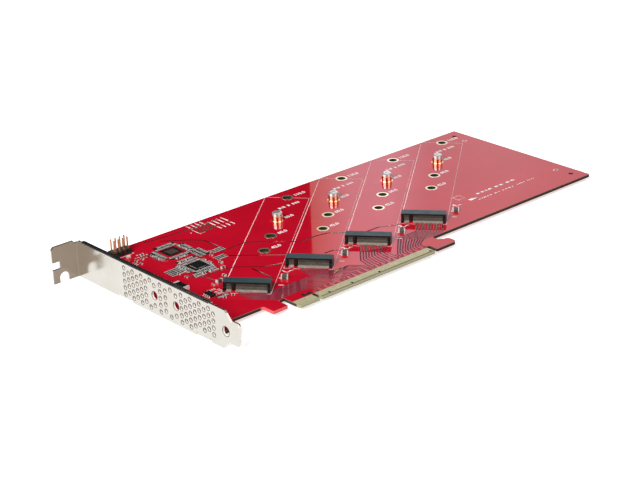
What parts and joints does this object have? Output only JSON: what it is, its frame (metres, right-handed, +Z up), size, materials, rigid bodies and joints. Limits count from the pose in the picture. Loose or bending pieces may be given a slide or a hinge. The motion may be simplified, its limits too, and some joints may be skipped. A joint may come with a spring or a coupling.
{
  "type": "nvme adapter card",
  "caption": "Passive expansion card for solid-state drive boards: angled sockets and hole rows on a long red board, gold edge connector and vented full-height slot bracket.",
  "frame": {"origin": "the bracket's outer face, level with the bottom of the edge connector and with the board's component face", "axes": "+X from the bracket along the board, +Y from the edge connector to the far long edge, +Z up from the component face"},
  "size_m": [0.2714, 0.1257, 0.0187],
  "materials": {
    "solder_mask": "glossy red",
    "nickel": "bright nickel",
    "gold": "pale gold",
    "socket_plastic": "matt",
    "tin": "bright tin",
    "brass": "bright",
    "black_plastic": "matt",
    "ceramic": "matt",
    "led_lens": "clear"
  },
  "bodies": {
    "root": {"bay_capacitor_ends": "tin", "bay_capacitors": "ceramic", "bracket": "nickel", "bracket_screws": "tin", "circuit_board": "solder_mask", "finger_contacts_bottom": "gold", "finger_contacts_top": "gold", "header_base": "black_plastic", "header_pins": "brass", "hole_rings": "gold", "input_fuse": "black_plastic", "input_fuse_ends": "tin", "main_chip": "black_plastic", "main_chip_pads": "tin", "regulator_chip": "black_plastic", "regulator_pins": "tin", "resistor_ends": "tin", "resistors": "black_plastic", "small_capacitor_ends": "tin", "small_capacitors": "ceramic", "socket_contacts_1": "tin", "socket_contacts_2": "tin", "socket_contacts_3": "tin", "socket_contacts_4": "tin", "socket_housing_1": "socket_plastic", "socket_housing_2": "socket_plastic", "socket_housing_3": "socket_plastic", "socket_housing_4": "socket_plastic", "standoff_1": "brass", "standoff_2": "brass", "standoff_3": "brass", "standoff_4": "brass", "standoff_screw_1": "tin", "standoff_screw_2": "tin", "standoff_screw_3": "tin", "standoff_screw_4": "tin", "status_led": "led_lens", "status_led_ends": "tin"}
  },
  "joints": []
}
